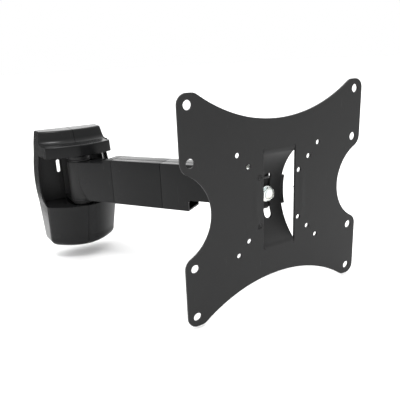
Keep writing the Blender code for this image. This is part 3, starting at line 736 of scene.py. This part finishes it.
def rim_rows(hood_foot, pocket_head):
    """The side beside the hub: its half width follows two parabolas about its widest height, and
    its front edge is straight, then sweeps forward on a quarter ellipse to the pocket."""
    height = np.concatenate([
        np.linspace(LEDGE_BOTTOM, RIM_SWEEP_START, 12)[1:],
        RIM_SWEEP_START + (POCKET_TOP - RIM_SWEEP_START) * np.sin(np.linspace(0, pi / 2, 9))[1:-1],
    ])
    above = (height - RIM_WIDEST_HEIGHT) / (LEDGE_BOTTOM - RIM_WIDEST_HEIGHT)
    below = (height - RIM_WIDEST_HEIGHT) / (POCKET_TOP - RIM_WIDEST_HEIGHT)
    upper_drop = (RIM_WIDEST - hood_foot[0, 0]) * above**2
    drop = np.where(above > 0, upper_drop, (RIM_WIDEST - pocket_head[0, 0]) * below**2)
    swept = np.clip((RIM_SWEEP_START - height) / (RIM_SWEEP_START - POCKET_TOP), 0, 1)
    far = -pocket_head[-1, 1]
    reach = RIM_DEPTH + (far - RIM_DEPTH) * (1 - np.sqrt(1 - swept**2))
    lean_top = (hood_foot[0, 0] - hood_foot[-1, 0]) / RIM_DEPTH
    lean_foot = (pocket_head[0, 0] - pocket_head[-1, 0]) / far
    lean = np.interp(height, [POCKET_TOP, LEDGE_BOTTOM], [lean_foot, lean_top])
    share_top = -hood_foot[:, 1] / RIM_DEPTH
    share_foot = -pocket_head[:, 1] / far
    mix = np.interp(height, [POCKET_TOP, LEDGE_BOTTOM], [1, 0])[:, None]
    depth = (share_top * (1 - mix) + share_foot * mix) * reach[:, None]
    x = (RIM_WIDEST - drop)[:, None] - lean[:, None] * depth
    rows = np.stack([x, -depth, np.broadcast_to(height[:, None], x.shape)], -1)
    return np.concatenate([hood_foot[None], rows, pocket_head[None]])


def shelf_edge(front, opening):
    """The inner edge of a level shelf: round the hub, then straight back, then out to the side."""
    level = front[0, 2]
    turn = np.linspace(0, pi / 2, 14)
    x = np.maximum(opening * np.sin(turn), COVER_SEAM)
    y = HUB[1] - opening * np.cos(turn)
    side = front[0, 0] - COVER_WALL + GAP
    x = np.concatenate([x, [opening, side]])
    y = np.concatenate([y, [-SHELF_BACK, -SHELF_BACK]])
    return np.stack([x, y, np.full_like(x, level)], -1)


def make_cover_half(side, name, node):
    """Hood, rim and pocket are grids with shared edges; the shelves and ends are flat faces."""
    hood, pocket = hood_rows(), pocket_rows()
    rim = rim_rows(hood[-1, :SIDE_COLUMNS], pocket[0, :SIDE_COLUMNS])
    ledge_foot = hood[-1, SIDE_COLUMNS - 1:]
    pocket_head = pocket[0, SIDE_COLUMNS - 1:]
    wall_corner = np.array([COVER_SEAM, 0, 0])
    flats = [
        np.concatenate([hood[0], [wall_corner + [0, 0, HOOD_TOP]]])[::-1],
        np.concatenate([ledge_foot, shelf_edge(ledge_foot, LEDGE_OPENING)]),
        np.concatenate([pocket_head, shelf_edge(pocket_head, POCKET_OPENING)])[::-1],
        np.concatenate([pocket[-1], [wall_corner + [0, 0, POCKET_FOOT]]]),
    ]
    points, quads, lids, count = [], [], [], 0
    for grid in (hood, rim, pocket):
        rows, columns, _ = grid.shape
        quads.append(quads_between(rows, columns, False, False) + count)
        points.append(grid.reshape(-1, 3))
        count += rows * columns
    for flat in flats:
        lids.append(np.arange(len(flat)) + count)
        points.append(flat)
        count += len(flat)
    points, quads = np.concatenate(points) * [side, 1, 1], np.concatenate(quads)
    if side < 0:
        quads, lids = quads[:, ::-1], [lid[::-1] for lid in lids]
    half = fit(to_mesh(name, points, quads, lids, closed=False), "wall_bracket", PLASTIC, [node])
    weld = half.modifiers.new("Join_faces", "WELD")
    weld.merge_threshold = 0.02 * MM
    thicken(half, COVER_WALL, even=False)
    soften(half, 0.35 * MM)


# Arm


def sleeve_outline():
    """A channel open at the top, with a broad band along its near side."""
    inside = SLEEVE_HALF - SLEEVE_WALL
    rim = SLEEVE_TOP - LID_SHEET - GAP
    band = NEAR_BAND - SLEEVE_HALF
    corners = [
        (-SLEEVE_HALF, SLEEVE_BOTTOM), (SLEEVE_HALF, SLEEVE_BOTTOM), (SLEEVE_HALF, rim),
        (inside, rim), (inside, SLEEVE_BOTTOM + SLEEVE_WALL), (-inside, SLEEVE_BOTTOM + SLEEVE_WALL),
        (-inside, SLEEVE_TOP - SLEEVE_WALL), (band, SLEEVE_TOP - SLEEVE_WALL), (band, SLEEVE_TOP),
        (-SLEEVE_HALF, SLEEVE_TOP),
    ]
    radii = np.array([1.2, 1.2, 0.4, 0.4, 0.6, 0.6, 0.6, 0.4, 0.4, 0.9]) * MM
    return rounded(corners, radii)


def make_sleeve(name, start, end, node):
    low, high = start - ARM_REACH + GAP / 2, end - ARM_REACH - GAP / 2
    mesh = moulded(name, sleeve_outline(), low, high, 0.35 * MM, "XZ", in_arm)
    return fit(mesh, "arm", PLASTIC, [node])


def make_lid(name, start, end, node):
    """A plain lid with rounded edges, beside the groove that parts it from the near side."""
    low, high = start - ARM_REACH + GAP / 2, end - ARM_REACH - GAP / 2
    left = NEAR_BAND - SLEEVE_HALF + LID_GROOVE
    under = SLEEVE_TOP - LID_SHEET
    corners = [(left, under), (SLEEVE_HALF, under), (SLEEVE_HALF, SLEEVE_TOP), (left, SLEEVE_TOP)]
    outline = rounded(corners, np.array([0.4, 0.4, 0.6, 0.4]) * MM)
    fit(moulded(name, outline, low, high, 0.35 * MM, "XZ", in_arm), "arm", PLASTIC, [node])


def box_outline(half, bottom, top, grow, round_over):
    """A rounded rectangle: the tube's outside, grown by a clearance or shrunk by its wall."""
    left, right, low, high = -half - grow, half + grow, bottom - grow, top + grow
    return rounded([(left, low), (right, low), (right, high), (left, high)], round_over)


def make_knuckle():
    """The arm's moulded end: a collar, a lower neck, and a lower corner swept up to the hub."""
    end = KNUCKLE_END - ARM_REACH
    collar = SLEEVE_END - ARM_REACH + GAP / 2
    step = KNUCKLE_STEP - ARM_REACH
    lean = np.arcsin(SLEEVE_BOTTOM / KNUCKLE_CURVE)
    sweep = bend((end - KNUCKLE_CURVE, 0), KNUCKLE_CURVE, lean, 0, 26)
    top = rounded([
        (end, 0), (end, KNUCKLE_TOP), (step + SLEEVE_TOP - KNUCKLE_TOP, KNUCKLE_TOP),
        (step, SLEEVE_TOP), (collar, SLEEVE_TOP), (collar, SLEEVE_BOTTOM),
    ], np.array([0.9, 1.6, 3, 2, 0.9, 0.9]) * MM)[6:]
    outline = np.concatenate([sweep, top])
    mesh = moulded("arm_knuckle_moulding", outline, -KNUCKLE_HALF, KNUCKLE_HALF, 0.8 * MM, "YZ", in_arm, 4)
    knuckle = fit(mesh, "arm", PLASTIC, ["arm_knuckle"])
    socket = circle(HUB_RADIUS + GAP, TURNED_SIDES)
    drill(knuckle, "arm", "knuckle_socket", socket, 2 * SLEEVE_BOTTOM, 2 * SLEEVE_TOP, "XY", in_arm)
    inner = box_outline(TUBE_HALF, TUBE_BOTTOM, TUBE_TOP, BORE_PLAY, 0.5 * MM)
    drill(knuckle, "arm", "knuckle_bay", inner, collar - MM, MM, "XZ", in_arm)
    soften(knuckle, 0.25 * MM)


def make_tube():
    """A welded steel box section with its wall shown at the bare end."""
    outer = box_outline(TUBE_HALF, TUBE_BOTTOM, TUBE_TOP, 0, 2 * MM)
    inner = box_outline(TUBE_HALF, TUBE_BOTTOM, TUBE_TOP, -TUBE_WALL, 0.8 * MM)
    near, far = HEAD_RADIUS + GAP - ARM_REACH, -HUB_RADIUS - GAP
    along = np.array([near, near, far, far])
    section = np.stack([outer, inner, inner, outer])
    along = np.broadcast_to(along[:, None], section.shape[:2])
    rings = np.stack([section[..., 0], along, section[..., 1]], -1)[[0, 3, 2, 1]]
    quads = quads_between(4, len(outer), True, True)
    mesh = to_mesh("arm_tube_steel", in_arm(rings).reshape(-1, 3), quads)
    tube = fit(mesh, "arm", POWDER_COAT, ["arm_tube"])
    soften(tube, 0.3 * MM)


# Hardware


def hexagon_radius(turn, flat):
    """Distance from the axis to a hexagon's side in each direction."""
    return flat / np.cos((turn + pi / 6) % (pi / 3) - pi / 6)


def ring_grid(rings, turn):
    """Points of each (radius, height) ring in every direction of turn."""
    return np.stack([np.stack([r * np.cos(turn), r * np.sin(turn), z], -1) for r, z in rings])


def hex_bolt(name, radius, seat, top, tip, thread_end, place, dish=0.15 * MM):
    """Shank, underside, hexagon and a chamfered, dished crown in one grid of rings. The thread
    is a ridge whose height is a sawtooth of turn plus height over pitch."""
    turn = np.linspace(0, 2 * pi, HEX_SIDES, endpoint=False)
    flat = HEX_FLAT * radius
    side = hexagon_radius(turn, flat)
    crown = flat * CROWN_SHARE
    pitch = 0.22 * radius
    count = max(int((thread_end - tip) / pitch * 8), 2)
    thread_z = np.linspace(tip + 0.3 * MM, thread_end, count)[:, None]
    phase = (thread_z / pitch - turn / (2 * pi)) % 1
    fade = np.clip((thread_end - thread_z) / pitch, 0, 1)
    thread_r = radius * (1 - 0.11 * fade * np.abs(2 * phase - 1))
    plain = np.ones_like(turn)
    rings = [(0.75 * radius * plain, tip * plain), (0.84 * radius * plain, (tip + 0.2 * MM) * plain)]
    rings += list(zip(thread_r, np.broadcast_to(thread_z, thread_r.shape)))
    rings += [
        (radius * plain, seat * plain), (flat * plain, seat * plain), (side, (seat + 0.02 * MM) * plain),
        (side, top - (side - crown) * HEX_CHAMFER), (crown * plain, top * plain),
        (crown * 0.86 * plain, top * plain), (crown * 0.78 * plain, (top - 0.8 * dish) * plain),
        (crown * 0.68 * plain, (top - dish) * plain),
    ]
    return loft(name, ring_grid(rings, turn), place)


def hex_nut(name, radius, top, place):
    """A chamfered hexagon round a plain bore: six rings, closed on themselves."""
    turn = np.linspace(0, 2 * pi, HEX_SIDES, endpoint=False)
    flat, low = HEX_FLAT * radius, top - 1.7 * radius
    side = hexagon_radius(turn, flat)
    crown = flat * CROWN_SHARE
    plain = np.ones_like(turn)
    bore = radius + 0.1 * MM
    rings = [
        (bore * plain, top * plain), (crown * plain, top * plain),
        (side, top - (side - crown) * HEX_CHAMFER), (side, low + (side - crown) * HEX_CHAMFER),
        (crown * plain, low * plain), (bore * plain, low * plain),
    ]
    quads = quads_between(6, len(turn), True, True)
    return to_mesh(name, place(ring_grid(rings, turn)).reshape(-1, 3), quads)


def node_span(node, axis=2):
    low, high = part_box(node)
    return low[axis], high[axis]


def make_upright_pivot(prefix, body, radius, metal, place):
    """The bolt, nut and washers of an upright pivot, each at the height of its own solid."""
    bolt_low, bolt_high = node_span(prefix + "_bolt")
    seat = bolt_high - 1.3 * radius
    nut_high = node_span(prefix + "_nut")[1]
    bolt = hex_bolt(prefix + "_pivot_bolt", radius, seat, bolt_high, bolt_low, nut_high, place)
    fit(bolt, body, metal, [prefix + "_bolt"])
    fit(hex_nut(prefix + "_lock_nut", radius, nut_high, place), body, metal, [prefix + "_nut"])
    for end in ("top", "bottom"):
        low, high = node_span(f"{prefix}_washer_{end}")
        profile = ring_profile(radius + 0.1 * MM, 2 * radius, low, high, 0.35 * MM)
        fit(turned(f"{prefix}_plain_washer_{end}", profile, place), body, metal, [f"{prefix}_washer_{end}"])


def make_barrel(prefix, radius, bolt_radius, place):
    """A steel barrel with a nylon bush pressed into each end."""
    low, high = node_span(prefix + "_barrel")
    bore = bolt_radius + 2.3 * MM
    profile = ring_profile(bore, radius, low, high, 0.6 * MM)
    fit(turned(prefix + "_pivot_barrel", profile, place, 96), "arm", POWDER_COAT, [prefix + "_barrel"])
    for end, seat, up in (("top", high, 1), ("bottom", low, -1)):
        inner, outer = bolt_radius + 0.1 * MM, bolt_radius + 2 * MM
        near, far = seat + up * 0.3 * MM, seat + up * 1.5 * MM
        flange, depth = radius - 1.2 * MM, seat - up * 9 * MM
        corners = [(flange, far), (flange, near), (outer, near), (outer, depth), (inner, depth), (inner, far)]
        profile = rounded(corners, np.array([0.4, 0.3, 0.2, 0.3, 0.3, 0.3]) * MM, 3)
        fit(turned(f"{prefix}_nylon_bush_{end}", profile, place), "arm", NYLON, [f"{prefix}_bush_{end}"])


def make_arm():
    make_sleeve("rear_cable_sleeve", SLEEVE_SEAM, SLEEVE_END, "rear_sleeve")
    front = make_sleeve("front_cable_sleeve", SLEEVE_START, SLEEVE_SEAM, "front_sleeve")
    low, high = -ARM_REACH, SLEEVE_NOTCH_END - ARM_REACH
    below = 3 * SLEEVE_BOTTOM
    corners = [(low, below), (high, below), (high, SLEEVE_NOTCH_TOP), (low, SLEEVE_NOTCH_TOP)]
    outline = rounded(corners, np.array([0.1, 0.1, 3.5, 0.1]) * MM, 8)
    drill(front, "arm", "sleeve_notch", outline, -2 * SLEEVE_HALF, 2 * SLEEVE_HALF, "YZ", in_arm)
    soften(front, 0.5 * MM)
    make_lid("rear_sleeve_lid", SLEEVE_SEAM, SLEEVE_END, "rear_lid")
    make_lid("front_sleeve_lid", SLEEVE_START, SLEEVE_SEAM, "front_lid")
    make_knuckle()
    make_tube()
    make_barrel("hub", HUB_RADIUS, HUB_BOLT_RADIUS, at_hub)
    make_barrel("head", HEAD_RADIUS, HEAD_BOLT_RADIUS, at_head)


# Head, folded channels and wall plate


def make_tilt_bolt():
    """The bolt through the saddle's slot: a low head with a dished crown, on a broad washer."""
    front, back = HEAD[1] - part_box("tilt_bolt")[0].y, HEAD[1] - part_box("tilt_bolt")[1].y
    low, high = HEAD[1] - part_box("tilt_washer")[1].y, HEAD[1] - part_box("tilt_washer")[0].y
    radius = HEAD_BOLT_RADIUS
    bolt = hex_bolt(
        "tilt_clamp_bolt", radius, high + GAP, front, back, back + 4 * MM, on_tilt_bolt, 0.9 * MM
    )
    fit(bolt, "head", ZINC, ["tilt_bolt"])
    profile = ring_profile(radius + 0.1 * MM, 2.1 * radius, low, high, 0.4 * MM)
    fit(turned("tilt_broad_washer", profile, on_tilt_bolt), "head", ZINC, ["tilt_washer"])


def make_channel(name, body, node, web, steel, width, opening, place):
    """A bent steel channel: a U profile with round bends, carried across its width. Its ears'
    round ends are shaped by a plan that reaches half the width past the pivot."""
    side = 1 if web > 0 else -1
    low, high = node_span(node)
    bottom, top = low + steel, high - steel
    corners = [
        (web, bottom - steel), (-side * width, bottom - steel), (-side * width, bottom),
        (web - side * steel, bottom), (web - side * steel, top), (-side * width, top),
        (-side * width, top + steel), (web, top + steel),
    ]
    tips = 0.6 * MM
    radii = np.array([1.5 * steel, tips, tips, 0.5 * steel, 0.5 * steel, tips, tips, 1.5 * steel])
    profile = rounded(corners, radii)
    mesh = moulded(name, profile, -width / 2, width / 2, 0.3 * MM, "YZ", place)
    channel = fit(mesh, body, POWDER_COAT, [node])
    half = width / 2 + 0.1 * MM
    ends = bend((0, 0), half, 0, -side * pi, 32)
    plan = np.concatenate([ends, [(-half, web + side * MM), (half, web + side * MM)]])
    reach = bottom - 2 * steel, top + 2 * steel
    drill(channel, body, name + "_plan", plan, *reach, "XY", place, "INTERSECT")
    reach = bottom - 3 * steel, top + 3 * steel
    drill(channel, body, name + "_drill", circle(opening), *reach, "XY", place)
    return channel


def make_channels():
    """The hinge bracket at the wall and the yoke at the head are folded from strip."""
    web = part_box("hinge_bracket")[1].y - HUB[1]
    opening = HUB_BOLT_RADIUS + BORE_PLAY
    bracket = make_channel(
        "hub_hinge_bracket", "wall_bracket", "hinge_bracket", web,
        BRACKET_STEEL, BRACKET_WIDTH, opening, at_hub,
    )
    soften(bracket, 0.25 * MM)
    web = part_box("head_yoke")[0].y - HEAD[1]
    opening = HEAD_BOLT_RADIUS + BORE_PLAY
    yoke = make_channel(
        "head_folded_yoke", "head", "head_yoke", web, YOKE_STEEL, YOKE_WIDTH, opening, at_head
    )
    drill(yoke, "head", "yoke_tilt_hole", circle(opening), web - MM, web + 4 * MM, "XZ", at_head)
    soften(yoke, 0.25 * MM)


def make_cradle():
    """A block hollowed to the saddle's curve; its hole lets the tilt bolt through."""
    low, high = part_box("tilt_cradle")
    half = (high.z - low.z) / 2
    bowl = SADDLE_CURVE + PLATE_SHEET + GAP
    lean = np.arcsin(half / bowl)
    tilt_y = TILT[1] - HEAD[1]
    back = high.y - HEAD[1]
    front = bend((tilt_y, 0), bowl, lean, -lean, 24)
    tip = tilt_y + bowl * np.cos(lean)
    block = rounded([(tip, -half), (back, -half), (back, half), (tip, half)], 0.8 * MM)
    outline = np.concatenate([front, block[6:18]])
    width = (high.x - low.x) / 2
    mesh = moulded("tilt_saddle_block", outline, -width, width, 0.6 * MM, "YZ", at_head)
    cradle = fit(mesh, "head", POWDER_COAT, ["tilt_cradle"])
    hole = circle(HEAD_BOLT_RADIUS + BORE_PLAY)
    drill(cradle, "head", "cradle_drill", hole, tilt_y, back + MM, "XZ", at_head)
    soften(cradle, 0.25 * MM)


def make_wall_plate():
    """The flat plate behind the cover, with its upright screw slots."""
    low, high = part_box("wall_plate")
    hood, pocket = hood_rows(), pocket_rows()
    rim = rim_rows(hood[-1, :SIDE_COLUMNS], pocket[0, :SIDE_COLUMNS])
    edge = np.concatenate([hood[:1, 0], rim[:-1, 0], pocket[:, 0]])[:, [0, 2]] - [WALL_PLATE_INSET, 0]
    edge[:, 1] = np.clip(edge[:, 1], low.z, high.z)
    outline = np.concatenate([edge, (edge * [-1, 1])[::-1]])
    mesh = moulded("wall_backing_plate", outline, low.y, high.y, 0.3 * MM, "XZ")
    plate = fit(mesh, "wall_bracket", POWDER_COAT, ["wall_plate"])
    for number, (x, bottom, top) in enumerate(WALL_SLOTS):
        for side in (1, -1):
            upper = bend((side * x, top - WALL_SLOT_HALF), WALL_SLOT_HALF, 0, pi, 14)
            lower = bend((side * x, bottom + WALL_SLOT_HALF), WALL_SLOT_HALF, pi, 2 * pi, 14)
            slot = np.concatenate([upper, lower])
            name = f"wall_slot_{number}_{'right' if side > 0 else 'left'}"
            drill(plate, "wall_bracket", name, slot, low.y - MM, high.y + MM, "XZ", in_row)
    soften(plate, 0.25 * MM)


# Setting


def make_floor():
    material, tree, shader, place = new_material("pale_table")
    clouds = noise(tree, place, 3.0, 3.0)
    base = mix_colours(tree, clouds, (0.86, 0.86, 0.86), (0.9, 0.9, 0.9))
    tree.links.new(base, shader.inputs["Base Color"])
    shader.inputs["Roughness"].default_value = 0.7
    mesh = bpy.data.meshes.new("pale_floor")
    reach, level = 12.0, -0.112
    corners = [(-reach, -reach, level), (reach, -reach, level), (reach, reach, level), (-reach, reach, level)]
    mesh.from_pydata(corners, [], [(0, 1, 2, 3)])
    mesh.materials.append(material)
    floor = add_object("pale_floor", mesh)


def make_world():
    """A soft white room, brightest behind the mount and dim in front of it. The camera sees it
    plain white."""
    world = bpy.data.worlds.new("soft_white_room")
    world.use_nodes = True
    tree = world.node_tree
    background = tree.nodes["Background"]
    direction = tree.nodes.new("ShaderNodeTexCoord").outputs["Generated"]
    split = tree.nodes.new("ShaderNodeSeparateXYZ")
    tree.links.new(direction, split.inputs["Vector"])
    behind = stretch(tree, split.outputs["Y"], -0.2, 0.9, 0.42, 1.5)
    above = stretch(tree, split.outputs["Z"], 0.0, 0.9, 0.0, 1.3)
    glow = combine(tree, "ADD", behind, above)
    seen = tree.nodes.new("ShaderNodeLightPath").outputs["Is Camera Ray"]
    plain = tree.nodes.new("ShaderNodeMix")
    tree.links.new(seen, plain.inputs["Factor"])
    tree.links.new(glow, plain.inputs["A"])
    plain.inputs["B"].default_value = 1.0
    tree.links.new(plain.outputs["Result"], background.inputs["Strength"])
    background.inputs["Color"].default_value = (1, 1, 1, 1)
    bpy.context.scene.world = world


def make_dark_card():
    """A grey card standing to the left of the wall unit. It shows only in reflections, where it
    keeps the unit's left side dark."""
    corners = np.array([(-0.1, 0.01, -0.11), (-0.1, 0.9, -0.11), (-0.1, 0.9, 0.6), (-0.1, 0.01, 0.6)])
    mesh = to_mesh("dark_card", corners, [(0, 1, 2, 3)], closed=False)
    card = add_object("dark_card", mesh)
    material, tree, shader, place = new_material("dark_card")
    shade = mix_colours(tree, noise(tree, place, 3.0), (0.12, 0.12, 0.12), (0.16, 0.16, 0.16))
    tree.links.new(shade, shader.inputs["Base Color"])
    shader.inputs["Roughness"].default_value = 0.9
    mesh.materials.append(material)
    card.visible_camera = card.visible_diffuse = card.visible_shadow = False


def make_light(name, place, aim, size, power):
    data = bpy.data.lights.new(name, "AREA")
    data.shape = "DISK"
    data.size = size
    data.energy = power
    light = add_object(name, data)
    light.location = place
    light.rotation_euler = (Vector(aim) - Vector(place)).to_track_quat("-Z", "Y").to_euler()


def make_camera():
    """Looks from the left and a little above, towards the wall on the right."""
    data = bpy.data.cameras.new("camera")
    data.lens, data.sensor_width = 41.98, 36
    camera = add_object("camera", data)
    right = Vector((0.8562, -0.5149, -0.0426))
    upward = Vector((0.1872, 0.2324, 0.9544))
    back = -Vector((0.4816, 0.8252, -0.2953))
    turn = Matrix((right, upward, back)).transposed()
    turn = turn @ Matrix.Rotation(0.0017, 3, "Y") @ Matrix.Rotation(0.0021, 3, "X")
    camera.rotation_mode = "QUATERNION"
    camera.rotation_quaternion = turn.to_quaternion()
    camera.location = (-0.1620, -0.6228, 0.1379)
    data.clip_start, data.clip_end = 0.01, 100
    bpy.context.scene.camera = camera


make_screen_plate()
make_cover_half(-1, "wall_cover_left_shell", "wall_cover_left")
make_cover_half(1, "wall_cover_right_shell", "wall_cover_right")
make_arm()
make_upright_pivot("hub", "wall_bracket", HUB_BOLT_RADIUS, DARK_HUB_METAL, at_hub)
make_upright_pivot("head", "head", HEAD_BOLT_RADIUS, ZINC, at_head)
make_tilt_bolt()
make_channels()
make_cradle()
make_wall_plate()
make_floor()
make_dark_card()
make_world()
make_light("overhead_softbox", (-0.3, -0.35, 1.2), (0.05, -0.15, 0), 0.32, 7)
make_camera()

bpy.context.scene.view_settings.view_transform = "Standard"
